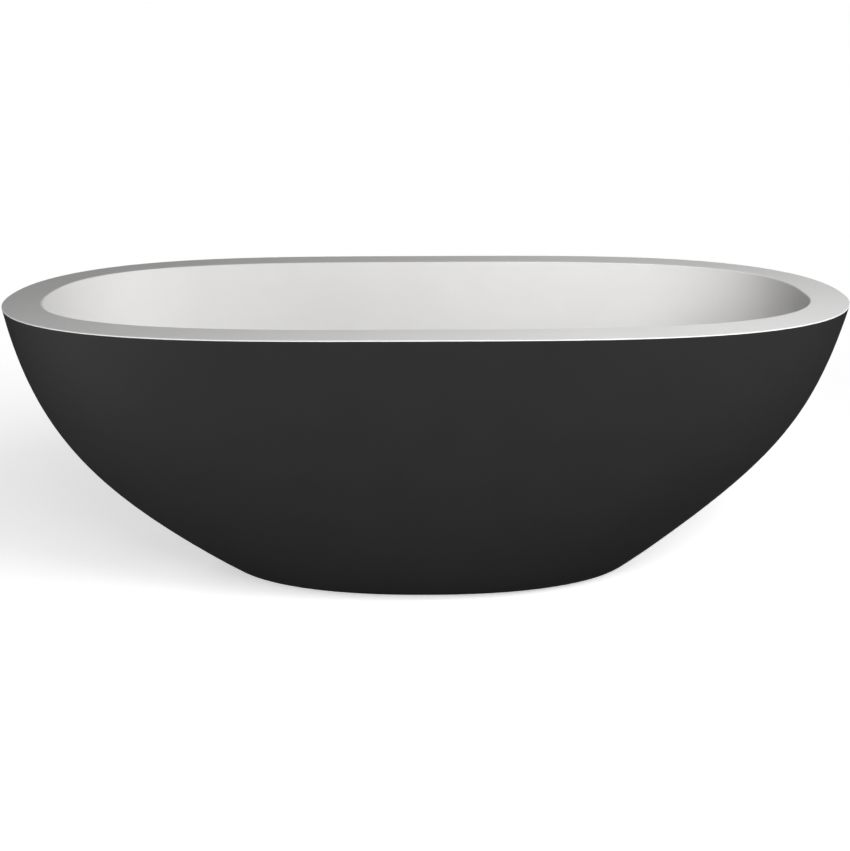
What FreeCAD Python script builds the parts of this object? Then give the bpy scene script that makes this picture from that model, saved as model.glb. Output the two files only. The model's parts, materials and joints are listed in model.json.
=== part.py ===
"""Freestanding oval bathtub with a broad flat rim, built as a white inner basin inside a dark outer shell.

Frame: millimetres, +Z up. The origin is on the floor under the middle of the rim's outline. +X runs
along the length to the foot end, and -Y is the near side, which holds the overflow.
The basin rests through rubber pads on a welded steel frame with four screw-adjusted feet. The outer
shell hangs from the rim and is held at its lower flange by four brackets.
"""

import FreeCAD, Part
import math
import os

from FreeCAD import Placement, Rotation, Vector

# ---------------------------------------------------------------- overall
LENGTH = 1700.0
WIDTH = 780.0
HEIGHT = 600.0
FLOOR_GAP = 0.8  # the shell's lower face hangs this far above the floor

# ---------------------------------------------------------------- outer form
# A wall profile is (reach at the floor, angle there, pull, reach at the rim, angle there, pull): a cubic
# curve whose end tangents stand at those angles above the horizontal and whose handles are as long as
# the pulls. Reach is measured from the middle of the tub.
HEAD_END = (427.0, 37.0, 280.0, LENGTH / 2, 85.5, 330.0)
FOOT_END = (440.0, 42.5, 377.0, LENGTH / 2, 81.5, 281.0)
LONG_SIDE = (206.0, 42.0, 150.0, WIDTH / 2, 76.5, 150.0)
# An outline is |x / a| ** p + |y / b| ** q = 1, given here by its (p, q); (2, 2) would be an ellipse.
RIM_POWERS = (3.57, 2.15)
BASE_POWERS = (2.20, 2.20)
BASE_ROLL_R = 60.0  # how the shell rolls under at the floor

# ---------------------------------------------------------------- outer shell
SHELL_WALL = 10.0
SHELL_FLANGE_T = 9.0  # in-turned flange at the floor
SHELL_FLANGE_OPENING = (362.0, 142.0)  # half length and half width
EDGE_LIP = 2.0  # height of the rim's white edge above the shell

# ---------------------------------------------------------------- basin
BASIN_WALL = 12.0
RIM_SLAB = 14.0
RIM_OVER_ENDS = 78.0  # width of the flat rim at the ends
RIM_OVER_SIDES = 77.0
FLOOR_Z = 145.0  # wet floor at the foot of the walls
FLOOR_HALF = (400.0, 150.0)
WELL_END = (FLOOR_HALF[0], 0.0, 190.0, LENGTH / 2 - RIM_OVER_ENDS, 83.9, 271.5)
WELL_SIDE = (FLOOR_HALF[1], 0.0, 90.0, WIDTH / 2 - RIM_OVER_SIDES, 83.9, 271.5)
WELL_POWERS = (3.40, 2.50)
WELL_FLOOR_POWERS = (2.50, 2.50)
FLOOR_FALL = 5.0  # the floor falls this much to the waste
RIM_OUTER_R = 1.5
RIM_INNER_R = 3.0
REBATE_IN = SHELL_WALL + 3.0  # rebate under the rim that takes the shell's top edge

# ---------------------------------------------------------------- waste
RECESS_R, RECESS_DEPTH = 37.0, 3.0
WASTE_HOLE_R = 26.0
BOSS_R, BOSS_Z = 60.0, 126.0  # thickened boss under the floor
DISH_Z = FLOOR_Z - FLOOR_FALL
GASKET_T = 1.5
WASTE_RIM_R, WASTE_RIM_T = 36.0, 2.5
WASTE_TAIL_R, WASTE_TAIL_BORE, WASTE_TAIL_Z = 24.0, 21.5, 90.0
SEAT_R = 22.6
SPIDER_Z = (112.0, 120.0)
SPIDER_RIBS, SPIDER_RIB_T = 4, 3.0
LOWER_GASKET_T = 3.0
THREAD_CLEAR = 0.05
BODY_FLANGE_R, BODY_FLANGE_T = 43.0, 5.0
BODY_R, BODY_BOTTOM_Z = 31.0, 38.0
OUTLET_R, OUTLET_BORE, OUTLET_Z = 23.9, 19.0, 12.0
BRANCH_Z, BRANCH_END = 58.0, 78.0  # side branch for the overflow hose
CARTRIDGE_R, CARTRIDGE_HEAD_R = 6.0, 8.5
CARTRIDGE_Z = (84.0, 131.0)
STEM_R = 4.0
STEM_Z = (106.0, 152.0)
PLUG_TRAVEL = 9.0
PLUG_R, PLUG_DOME, PLUG_EDGE = 31.0, 9.0, 3.2
NECK_R, NECK_DEPTH = 17.0, 9.5
SEAL_GROOVE_R, SEAL_LIP_R, SEAL_H, SEAL_DROP = 15.0, 22.2, 3.0, 6.5
PLUG_UNDER_Z = DISH_Z + 1.0 + PLUG_TRAVEL + 0.3
SPRING_WIRE_R, SPRING_COILS = 0.45, 7

# ---------------------------------------------------------------- overflow
OVERFLOW_Z = 515.0
OVERFLOW_HOLE_R = 23.0
OVERFLOW_LAND_R, LAND_CUT = 37.0, 1.0  # flat lands cut on both faces of the wall
OVERFLOW_GASKET_T, OVERFLOW_INNER_T = 2.0, 1.5
BARREL_R, BARREL_BORE, BARREL_FLANGE_T = 22.0, 19.5, 4.0
CHAMBER_R, CHAMBER_DEPTH, CHAMBER_WALL = 24.0, 28.0, 2.5
SPIGOT_END = 54.0  # how far the overflow's spigot reaches down from the barrel's axis
COVER_R, COVER_OUT = 36.0, 13.0
HOSE_R, HOSE_WALL = 16.0, 2.5
SPIGOT_R = HOSE_R - HOSE_WALL - THREAD_CLEAR
SPIGOT_BORE = 10.5
SLEEVE = 18.0  # hose overlap on a spigot
CLIP_T, CLIP_W = 1.0, 9.0
CLIP_HOUSING, CLIP_SCREW_R = 6.0, 3.2

# ---------------------------------------------------------------- frame and feet
RAIL_Y, RAIL_W, RAIL_H, TUBE_WALL = 82.0, 40.0, 25.0, 2.0
RAIL_HALF = 345.0
PAD_T = 10.0
BOARD_T = 15.0
BOARD_TOP = FLOOR_Z - BASIN_WALL
RAIL_TOP = BOARD_TOP - BOARD_T - PAD_T
RAIL_BOTTOM = RAIL_TOP - RAIL_H
CROSS_X = (-325.0, -115.0, 115.0, 325.0)
FOOT_X = 240.0
STUD_R, NUT_BORE, RAIL_HOLE_R = 5.9, 6.0, 7.0
NUT_AF, WELD_NUT_H, LOCK_NUT_H = 19.0, 10.0, 6.0
NUT_CHAMFER = 1.4
STUD_Z = (4.0, 102.0)
STUD_CHAMFER = 1.5
SPANNER_Z, SPANNER_AF = (16.0, 24.0), 17.0
SOLE_T, CUP_R, CUP_T, CUP_TOP = 2.0, 24.0, 6.0, 14.0
BRACKET_W, BRACKET_T, BRACKET_Y, BRACKET_FOOT = 30.0, 3.0, 55.0, 20.0
BOLT_R, BOLT_HOLE_R, BOLT_HEAD_AF, BOLT_HEAD_H, BOLT_GRIP = 3.0, 3.1, 10.0, 4.0, 8.0
SCREW_R, SCREW_HOLE_R, SCREW_LENGTH = 2.0, 2.6, 9.0
SCREW_HEAD_R, SCREW_HEAD_H, SCREW_SLOT = 4.5, 2.9, 1.2
PAD_X, PAD_HALF = (-290.0, 0.0, 290.0), (30.0, 17.0)

OUTLINE_POINTS = 60
PROFILE_SECTIONS = 9


# ================================================================ curves
def profile_curve(profile, base_z=0.0):
    """The four control points of a wall profile, from base_z up to the rim."""
    foot, foot_angle, foot_pull, top, top_angle, top_pull = profile
    low, high = math.radians(foot_angle), math.radians(top_angle)
    return (
        (foot, base_z),
        (foot + foot_pull * math.cos(low), base_z + foot_pull * math.sin(low)),
        (top - top_pull * math.cos(high), HEIGHT - top_pull * math.sin(high)),
        (top, HEIGHT),
    )


def profile_point(curve, t, inset=0.0):
    """(reach, z) at t on a profile moved by inset along its normal, towards the inside of the tub."""
    u = 1.0 - t
    point = [
        u**3 * a + 3 * u * u * t * b + 3 * u * t * t * c + t**3 * d
        for a, b, c, d in zip(*curve)
    ]
    slope = [
        3 * u * u * (b - a) + 6 * u * t * (c - b) + 3 * t * t * (d - c)
        for a, b, c, d in zip(*curve)
    ]
    size = math.hypot(*slope)
    return point[0] - inset * slope[1] / size, point[1] + inset * slope[0] / size


def profile_t(curve, z, inset=0.0):
    """The t at which a profile, moved by inset, is at height z."""
    low, high = 0.0, 1.0
    for _ in range(50):
        middle = (low + high) / 2
        if profile_point(curve, middle, inset)[1] < z:
            low = middle
        else:
            high = middle
    return (low + high) / 2


def reach_at(curve, z, inset=0.0):
    """How far a profile stands from the middle of the tub at height z."""
    return profile_point(curve, profile_t(curve, z, inset), inset)[0]


def levels(curve, low, high, inset=0.0, count=PROFILE_SECTIONS):
    """Heights from low to high, evenly spaced along the profile's own length."""
    steps = 400
    start, end = profile_t(curve, low, inset), profile_t(curve, high, inset)
    points = [
        profile_point(curve, start + (end - start) * i / steps, inset)
        for i in range(steps + 1)
    ]
    run = [0.0]
    for a, b in zip(points, points[1:]):
        run.append(run[-1] + math.dist(a, b))
    heights = []
    for k in range(count):
        i = min(range(steps + 1), key=lambda j: abs(run[j] - run[-1] * k / (count - 1)))
        heights.append(points[i][1])
    return [low, *heights[1:-1], high]


def between(low, high, share):
    """The powers of an outline that lies share of the way from low's to high's."""
    return [a + (b - a) * share for a, b in zip(low, high)]


def outline(head, foot, half_width, powers, z, count=OUTLINE_POINTS):
    """Closed wire at height z, whose two ends may reach differently far."""
    steps = 2400
    points = []
    for i in range(steps + 1):
        turn = 2 * math.pi * i / steps
        c, s = math.cos(turn), math.sin(turn)
        reach = foot if c >= 0 else head
        points.append(
            (
                reach * math.copysign(abs(c) ** (2 / powers[0]), c),
                half_width * math.copysign(abs(s) ** (2 / powers[1]), s),
            )
        )
    run = [0.0]
    for a, b in zip(points, points[1:]):
        run.append(run[-1] + math.dist(a, b))
    spaced, j = [], 0
    for k in range(count):
        while run[j + 1] < run[-1] * k / count:
            j += 1
        f = (run[-1] * k / count - run[j]) / (run[j + 1] - run[j])
        (ax, ay), (bx, by) = points[j], points[j + 1]
        spaced.append(Vector(ax + f * (bx - ax), ay + f * (by - ay), z))
    curve = Part.BSplineCurve()
    curve.interpolate(spaced, PeriodicFlag=True)
    return Part.Wire(curve.toShape())


# ================================================================ solid helpers
def cylinder(radius, low, high, x=0.0, y=0.0):
    return Part.makeCylinder(radius, high - low, Vector(x, y, low))


def ring(outer, inner, low, high, x=0.0, y=0.0):
    return cylinder(outer, low, high, x, y).cut(cylinder(inner, low, high, x, y))


def block(x, y, z):
    """A box from its (low, high) pairs."""
    size = [high - low for low, high in (x, y, z)]
    return Part.makeBox(*size, Vector(x[0], y[0], z[0]))


def hexagon(across_flats, low, high, x=0.0, y=0.0):
    radius = across_flats / math.sqrt(3)
    corners = [
        Vector(x + radius * math.cos(a), y + radius * math.sin(a), low)
        for a in (math.pi * k / 3 for k in range(7))
    ]
    return Part.Face(Part.makePolygon(corners)).extrude(Vector(0, 0, high - low))


def turned(points):
    """A solid of revolution about Z from its (radius, z) outline."""
    corners = [Vector(r, 0, z) for r, z in [*points, points[0]]]
    face = Part.Face(Part.makePolygon(corners))
    return face.revolve(Vector(0, 0, 0), Vector(0, 0, 1), 360)


def fuse(first, *others):
    return first.fuse(list(others)).removeSplitter()


def edges_at(shape, z):
    """The edges that lie flat at height z."""
    return [
        e
        for e in shape.Edges
        if abs(e.BoundBox.ZMin - z) < 0.01 and abs(e.BoundBox.ZMax - z) < 0.01
    ]


def pipe(route, radius):
    """A round bar along a wire that starts at route's first point."""
    start = route.Edges[0].valueAt(route.Edges[0].FirstParameter)
    along = route.Edges[0].tangentAt(route.Edges[0].FirstParameter)
    section = Part.Wire(Part.makeCircle(radius, start, along))
    return route.makePipeShell([section], True, False)


def rounded_route(points, share=0.45):
    """Straight runs through points, joined by tangent arcs as large as the shorter run allows."""
    edges, last = [], points[0]
    for before, corner, after in zip(points, points[1:], points[2:]):
        inward = (before - corner).normalize()
        outward = (after - corner).normalize()
        tangent = share * min((before - corner).Length, (after - corner).Length)
        start, end = corner + inward * tangent, corner + outward * tangent
        half_turn = (math.pi - inward.getAngle(outward)) / 2
        radius = tangent / math.tan(half_turn)
        middle = corner + (inward + outward).normalize() * radius * (
            1 / math.cos(half_turn) - 1
        )
        edges.append(Part.LineSegment(last, start).toShape())
        edges.append(Part.Arc(start, middle, end).toShape())
        last = end
    edges.append(Part.LineSegment(last, points[-1]).toShape())
    return Part.Wire(edges)


# ================================================================ forms
HEAD_CURVE = profile_curve(HEAD_END)
FOOT_CURVE = profile_curve(FOOT_END)
SIDE_CURVE = profile_curve(LONG_SIDE)
WELL_END_CURVE = profile_curve(WELL_END, FLOOR_Z)
WELL_SIDE_CURVE = profile_curve(WELL_SIDE, FLOOR_Z)


def hull_form(low, high, inset=0.0):
    """The outer form between two heights, with every wall moved inwards by inset."""
    sections = []
    for z in levels(FOOT_CURVE, low, high, inset):
        powers = between(BASE_POWERS, RIM_POWERS, z / HEIGHT)
        head, foot, side = (
            reach_at(c, z, inset) for c in (HEAD_CURVE, FOOT_CURVE, SIDE_CURVE)
        )
        sections.append(outline(head, foot, side, powers, z))
    return Part.makeLoft(sections, True, False)


def well_form(low, high, outset=0.0):
    """The basin's inner form between two heights, with every wall moved outwards by outset."""
    sections = []
    for z in levels(WELL_END_CURVE, low, high, -outset):
        share = max(0.0, (z - FLOOR_Z) / (HEIGHT - FLOOR_Z))
        powers = between(WELL_FLOOR_POWERS, WELL_POWERS, share)
        end = reach_at(WELL_END_CURVE, z, -outset)
        side = reach_at(WELL_SIDE_CURVE, z, -outset)
        sections.append(outline(end, end, side, powers, z))
    return Part.makeLoft(sections, True, False)


def slice_of(shape, low, high):
    return shape.common(block((-LENGTH, LENGTH), (-WIDTH, WIDTH), (low, high)))


class WallFrame:
    """A local frame on the near wall's wet face: +Z points out of the tub through the wall."""

    def __init__(self, z):
        t = profile_t(WELL_SIDE_CURVE, z)
        a, b = (profile_point(WELL_SIDE_CURVE, t + d) for d in (-0.001, 0.001))
        lean = math.atan2(b[0] - a[0], b[1] - a[1])
        self.origin = Vector(0, -profile_point(WELL_SIDE_CURVE, t)[0], z)
        self.out = Vector(0, -math.cos(lean), -math.sin(lean))
        self.down = Vector(0, math.sin(lean), -math.cos(lean))
        turn = Rotation(Vector(1, 0, 0), self.down * -1, self.out, "ZXY")
        self.placement = Placement(self.origin, turn)

    def place(self, shape):
        moved = shape.copy()
        moved.Placement = self.placement.multiply(moved.Placement)
        return moved

    def point(self, down, out):
        return self.origin + self.down * down + self.out * out


OVERFLOW = WallFrame(OVERFLOW_Z)


# ================================================================ shells
def make_basin(hull):
    """Inner basin and flat rim in one casting, with the waste and overflow holes."""
    slab = slice_of(hull, HEIGHT - RIM_SLAB, HEIGHT)
    rebate = slice_of(hull, HEIGHT - RIM_SLAB, HEIGHT - EDGE_LIP).cut(
        hull_form(HEIGHT - RIM_SLAB - 30, HEIGHT - EDGE_LIP, REBATE_IN)
    )
    dry = well_form(FLOOR_Z - BASIN_WALL, HEIGHT - RIM_SLAB / 2, BASIN_WALL)
    body = fuse(dry, slab.cut(rebate), cylinder(BOSS_R, BOSS_Z, FLOOR_Z))
    well = well_form(FLOOR_Z, HEIGHT)
    dish = Part.makeLoft(
        [
            outline(FLOOR_HALF[0], FLOOR_HALF[0], FLOOR_HALF[1], WELL_FLOOR_POWERS, FLOOR_Z),
            Part.Wire(Part.makeCircle(RECESS_R + 8, Vector(0, 0, DISH_Z))),
        ],
        True,
        True,
    )
    body = body.cut(well).cut(dish)
    body = body.makeFillet(RIM_INNER_R, [min(edges_at(body, HEIGHT), key=lambda e: e.Length)])
    body = body.makeFillet(RIM_OUTER_R, [max(edges_at(body, HEIGHT), key=lambda e: e.Length)])
    body = body.cut(cylinder(RECESS_R, DISH_Z - RECESS_DEPTH, FLOOR_Z))
    body = body.cut(cylinder(WASTE_HOLE_R, BOSS_Z - 1, FLOOR_Z))
    for cutter in (
        cylinder(OVERFLOW_HOLE_R, -BASIN_WALL, 2 * BASIN_WALL),
        cylinder(OVERFLOW_LAND_R, -BASIN_WALL, LAND_CUT),
        cylinder(OVERFLOW_LAND_R, BASIN_WALL - LAND_CUT, 2 * BASIN_WALL),
    ):
        body = body.cut(OVERFLOW.place(cutter))
    return body


def make_outer_shell(hull):
    """Dark outer skin: open at the top, with an in-turned flange at the floor."""
    outer = hull.makeFillet(BASE_ROLL_R, edges_at(hull, FLOOR_GAP))
    outer = slice_of(outer, FLOOR_GAP, HEIGHT - EDGE_LIP)
    flange_top = FLOOR_GAP + SHELL_FLANGE_T
    inner = hull_form(flange_top, HEIGHT, SHELL_WALL)
    inner = inner.makeFillet(BASE_ROLL_R - SHELL_WALL, edges_at(inner, flange_top))
    half_length, half_width = SHELL_FLANGE_OPENING
    opening = Part.Face(
        outline(half_length, half_length, half_width, BASE_POWERS, 0.0)
    ).extrude(Vector(0, 0, 2 * flange_top))
    shell = outer.cut(inner).cut(opening)
    holes = [
        cylinder(SCREW_R, FLOOR_GAP + 2.0, flange_top + 1.0, x, y)
        for x, y in bracket_screw_places()
    ]
    return shell.cut(holes)


def make_rim_bond(hull, basin, shell):
    """Adhesive bead between the rim's rebate and the shell's top edge."""
    band = slice_of(hull, HEIGHT - RIM_SLAB, HEIGHT - EDGE_LIP)
    core = hull_form(HEIGHT - RIM_SLAB - 30, HEIGHT - EDGE_LIP, REBATE_IN)
    return band.cut(core).cut(shell).cut(basin)


def make_base_board():
    """Board bonded under the basin floor, cut out around the waste."""
    half = [h - 8.0 for h in FLOOR_HALF]
    board = Part.Face(
        outline(half[0], half[0], half[1], WELL_FLOOR_POWERS, BOARD_TOP - BOARD_T)
    ).extrude(Vector(0, 0, BOARD_T))
    return board.cut(cylinder(BOSS_R + 5, 0, FLOOR_Z))


# ================================================================ frame and feet
def foot_places():
    return {
        "front_left": (-FOOT_X, -RAIL_Y),
        "front_right": (FOOT_X, -RAIL_Y),
        "back_left": (-FOOT_X, RAIL_Y),
        "back_right": (FOOT_X, RAIL_Y),
    }


def bracket_places():
    return {
        "front_left": (-1, -BRACKET_Y),
        "front_right": (1, -BRACKET_Y),
        "back_left": (-1, BRACKET_Y),
        "back_right": (1, BRACKET_Y),
    }


def bracket_screw_places():
    """Where each bracket is screwed to the shell's flange."""
    x = RAIL_HALF + BRACKET_T + BRACKET_FOOT / 2
    return [(side * x, y) for side, y in bracket_places().values()]


def square_tube(x, y, z, along):
    """A rectangular tube that fills a box and is hollow along 'x' or 'y'."""
    t = TUBE_WALL
    hollow = [(low + t, high - t) for low, high in (x, y, z)]
    axis = "xy".index(along)
    hollow[axis] = ((x, y)[axis][0] - 1, (x, y)[axis][1] + 1)
    return block(x, y, z).cut(block(*hollow))


def bolt_hole(side, y):
    """Clearance hole through a bracket and the wall of the end cross member behind it."""
    start = Vector(side * (RAIL_HALF - 2 * TUBE_WALL), y, (RAIL_BOTTOM + RAIL_TOP) / 2)
    return Part.makeCylinder(BOLT_HOLE_R, 10.0, start, Vector(side, 0, 0))


def make_rail(side):
    """One long rail, drilled below for its two feet."""
    y = side * RAIL_Y
    rail = square_tube(
        (-RAIL_HALF, RAIL_HALF),
        (y - RAIL_W / 2, y + RAIL_W / 2),
        (RAIL_BOTTOM, RAIL_TOP),
        "x",
    )
    holes = [
        cylinder(RAIL_HOLE_R, RAIL_BOTTOM - 1, RAIL_BOTTOM + 2 * TUBE_WALL, x, y)
        for x in (-FOOT_X, FOOT_X)
    ]
    return rail.cut(holes)


def make_cross_member(x):
    """Cross tube between the rails; the end ones are drilled for the bracket bolts."""
    reach = RAIL_Y - RAIL_W / 2
    tube = square_tube(
        (x - RAIL_W / 2, x + RAIL_W / 2), (-reach, reach), (RAIL_BOTTOM, RAIL_TOP), "y"
    )
    if abs(x) < RAIL_HALF / 2:
        return tube
    side = math.copysign(1, x)
    holes = [bolt_hole(side, y) for y in (-BRACKET_Y, BRACKET_Y)]
    return tube.cut(holes)


def make_bearing_pads():
    """Rubber pads between the rails and the board."""
    return Part.makeCompound(
        [
            block(
                (x - PAD_HALF[0], x + PAD_HALF[0]),
                (y - PAD_HALF[1], y + PAD_HALF[1]),
                (RAIL_TOP, RAIL_TOP + PAD_T),
            )
            for x in PAD_X
            for y in (-RAIL_Y, RAIL_Y)
        ]
    )


def make_nuts(height, top):
    """One hexagon nut round each foot's stud."""
    nuts = []
    for x, y in foot_places().values():
        nut = hexagon(NUT_AF, top - height, top, x, y)
        nut = nut.common(chamfer_cone(NUT_AF * 0.56, top - height, top, x, y))
        nuts.append(nut.cut(cylinder(NUT_BORE, top - height - 1, top + 1, x, y)))
    return Part.makeCompound(nuts)


def chamfer_cone(radius, low, high, x, y):
    """A disc with chamfered rims, which takes the points off a hexagon's corners."""
    body = turned(
        [
            (0, low),
            (radius - NUT_CHAMFER, low),
            (radius, low + NUT_CHAMFER / 2),
            (radius, high - NUT_CHAMFER / 2),
            (radius - NUT_CHAMFER, high),
            (0, high),
        ]
    )
    return body.translated(Vector(x, y, 0))


def make_foot_stud(x, y):
    """Threaded stud with a spanner hexagon, drawn at its thread's working diameter."""
    low, high = STUD_Z
    tip_r = STUD_R - STUD_CHAMFER
    stud = turned(
        [
            (0, low),
            (tip_r, low),
            (STUD_R, low + STUD_CHAMFER),
            (STUD_R, high - STUD_CHAMFER),
            (tip_r, high),
            (0, high),
        ]
    )
    return fuse(stud.translated(Vector(x, y, 0)), hexagon(SPANNER_AF, *SPANNER_Z, x, y))


def make_foot_cup(x, y):
    """Plastic foot that the stud turns in."""
    cup = turned(
        [
            (0, SOLE_T),
            (CUP_R, SOLE_T),
            (CUP_R, SOLE_T + CUP_T - 2),
            (CUP_R - 2, SOLE_T + CUP_T),
            (STUD_R + 8, SOLE_T + CUP_T + 1),
            (STUD_R + 5, CUP_TOP),
            (0, CUP_TOP),
        ]
    )
    return cup.cut(cylinder(STUD_R + 0.1, STUD_Z[0], CUP_TOP + 1)).translated(Vector(x, y, 0))


def make_foot_sole(x, y):
    return cylinder(CUP_R - 2, 0.0, SOLE_T, x, y)


def make_bracket(side, y):
    """Angle that ties the frame's end to the shell's flange."""
    low = FLOOR_GAP + SHELL_FLANGE_T
    x0, x1 = RAIL_HALF, RAIL_HALF + BRACKET_T
    width = (y - BRACKET_W / 2, y + BRACKET_W / 2)
    leg = block((x0, x1), width, (low, RAIL_TOP))
    foot = block((x0, x1 + BRACKET_FOOT), width, (low, low + BRACKET_T))
    screw_hole = cylinder(SCREW_HOLE_R, low - 1, low + BRACKET_T + 1, x1 + BRACKET_FOOT / 2, y)
    bracket = fuse(leg, foot).cut([bolt_hole(1, y), screw_hole])
    return bracket if side > 0 else bracket.mirror(Vector(0, 0, 0), Vector(1, 0, 0))


def make_bracket_bolts():
    """Bolts from the brackets into the end cross members."""
    middle = (RAIL_BOTTOM + RAIL_TOP) / 2
    bolts = []
    for side, y in bracket_places().values():
        head = hexagon(BOLT_HEAD_AF, 0.0, BOLT_HEAD_H)
        bolt = fuse(head, cylinder(BOLT_R, -BOLT_GRIP, 0.0))
        turn = Rotation(Vector(0, 0, 1), Vector(side, 0, 0))
        bolt.Placement = Placement(Vector(side * (RAIL_HALF + BRACKET_T), y, middle), turn)
        bolts.append(bolt)
    return Part.makeCompound(bolts)


def make_flange_screws():
    """Pan-head screws from the brackets into the shell's flange."""
    top = FLOOR_GAP + SHELL_FLANGE_T + BRACKET_T
    slot_z = top + SCREW_HEAD_H - 1.3
    screw = turned(
        [
            (0, top - SCREW_LENGTH),
            (SCREW_R, top - SCREW_LENGTH + 1.5),
            (SCREW_R, top),
            (SCREW_HEAD_R, top),
            (SCREW_HEAD_R - 0.3, top + 1.6),
            (SCREW_HEAD_R - 1.7, top + SCREW_HEAD_H - 0.3),
            (0, top + SCREW_HEAD_H),
        ]
    )
    slot = block(
        (-SCREW_SLOT / 2, SCREW_SLOT / 2),
        (-SCREW_HEAD_R, SCREW_HEAD_R),
        (slot_z, top + SCREW_HEAD_H + 1),
    )
    screw = screw.cut(slot)
    return Part.makeCompound([screw.translated(Vector(x, y, 0)) for x, y in bracket_screw_places()])


# ================================================================ waste
RIM_Z = DISH_Z - RECESS_DEPTH + GASKET_T  # underside of the waste's rim
BODY_TOP = BOSS_Z - LOWER_GASKET_T


def make_waste_flange():
    """Chrome flange with its threaded tail and the spider that holds the click cartridge."""
    top = RIM_Z + WASTE_RIM_T
    flange = turned(
        [
            (SEAT_R, RIM_Z - 3),
            (SEAT_R + 0.6, top - 1.5),
            (SEAT_R + 3.5, top),
            (WASTE_RIM_R - 1.2, top),
            (WASTE_RIM_R, top - 1.2),
            (WASTE_RIM_R, RIM_Z),
            (WASTE_TAIL_R, RIM_Z),
            (WASTE_TAIL_R, WASTE_TAIL_Z),
            (WASTE_TAIL_BORE, WASTE_TAIL_Z),
            (WASTE_TAIL_BORE, RIM_Z - 5),
        ]
    )
    ribs = [
        block(
            (CARTRIDGE_R + 1, WASTE_TAIL_BORE + 1),
            (-SPIDER_RIB_T / 2, SPIDER_RIB_T / 2),
            SPIDER_Z,
        ).rotated(Vector(0, 0, 0), Vector(0, 0, 1), 360.0 * k / SPIDER_RIBS)
        for k in range(SPIDER_RIBS)
    ]
    hub = cylinder(CARTRIDGE_R + 3, SPIDER_Z[0] - 2, SPIDER_Z[1] + 2)
    bore = cylinder(CARTRIDGE_R + THREAD_CLEAR, 0, HEIGHT / 4)
    return fuse(flange, hub, *ribs).cut(bore)


def make_waste_gasket():
    return ring(RECESS_R - 1.5, WASTE_HOLE_R, DISH_Z - RECESS_DEPTH, RIM_Z)


def make_lower_gasket():
    return ring(BODY_FLANGE_R - 1, WASTE_HOLE_R + 1, BODY_TOP, BOSS_Z)


def make_waste_body():
    """Plastic body under the floor, with the outlet below and the overflow's branch at the near side."""
    shelf = BODY_TOP - BODY_FLANGE_T
    outside = turned(
        [
            (0, BODY_TOP),
            (BODY_FLANGE_R, BODY_TOP),
            (BODY_FLANGE_R, shelf),
            (BODY_R, shelf - 3),
            (BODY_R, BODY_BOTTOM_Z + 6),
            (BODY_R - 5, BODY_BOTTOM_Z),
            (OUTLET_R, BODY_BOTTOM_Z),
            (OUTLET_R, OUTLET_Z),
            (0, OUTLET_Z),
        ]
    )
    towards = Vector(0, -1, 0)
    start = Vector(0, 0, BRANCH_Z)
    boss = Part.makeCylinder(SPIGOT_R + 4, BRANCH_END - SLEEVE - 4, start, towards)
    spigot = Part.makeCylinder(SPIGOT_R, BRANCH_END, start, towards)
    body = fuse(outside, boss, spigot)
    chamber = turned(
        [
            (0, BODY_TOP + 1),
            (WASTE_TAIL_R + THREAD_CLEAR, BODY_TOP + 1),
            (WASTE_TAIL_R + THREAD_CLEAR, WASTE_TAIL_Z - 3),
            (BODY_R - 4, WASTE_TAIL_Z - 6),
            (BODY_R - 4, BODY_BOTTOM_Z + 8),
            (OUTLET_BORE, BODY_BOTTOM_Z + 4),
            (OUTLET_BORE, OUTLET_Z - 1),
            (0, OUTLET_Z - 1),
        ]
    )
    bore = Part.makeCylinder(SPIGOT_BORE, BRANCH_END + 1, start, towards)
    return body.cut([chamber, bore])


def make_cartridge():
    """Click mechanism's barrel, screwed into the spider."""
    low, high = CARTRIDGE_Z
    shoulder = SPIDER_Z[1] + 2
    barrel = fuse(
        cylinder(CARTRIDGE_R, low, high), cylinder(CARTRIDGE_HEAD_R, shoulder, high)
    )
    return barrel.cut(cylinder(STEM_R + THREAD_CLEAR, low + 2, high + 1))


def make_plug_stem():
    low, high = STEM_Z
    return turned([(0, low), (STEM_R - 0.8, low), (STEM_R, low + 0.8), (STEM_R, high), (0, high)])


def make_plug_cap():
    """Domed cap that presses down to close the waste."""
    low = PLUG_UNDER_Z
    dome_top = low + PLUG_DOME
    rise = PLUG_DOME - PLUG_EDGE
    dome_r = ((PLUG_R - 1.5) ** 2 + rise**2) / (2 * rise)
    dome = Part.makeSphere(dome_r, Vector(0, 0, dome_top - dome_r)).common(
        cylinder(PLUG_R, low, dome_top + 1)
    )
    dome = dome.cut(cylinder(PLUG_R + 1, low - dome_r, low))
    neck = cylinder(NECK_R, low - NECK_DEPTH, low)
    groove = ring(NECK_R + 1, SEAL_GROOVE_R, low - SEAL_DROP, low - SEAL_DROP + SEAL_H)
    return fuse(dome, neck).cut(groove).cut(cylinder(STEM_R, low - NECK_DEPTH - 1, STEM_Z[1]))


def make_plug_seal():
    """Lipped rubber ring in the plug's groove."""
    low = PLUG_UNDER_Z - SEAL_DROP
    return turned(
        [
            (SEAL_GROOVE_R, low),
            (NECK_R, low),
            (SEAL_LIP_R - 0.6, low + 1.2),
            (SEAL_LIP_R, low + 2.6),
            (NECK_R, low + SEAL_H),
            (SEAL_GROOVE_R, low + SEAL_H),
        ]
    )


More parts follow.
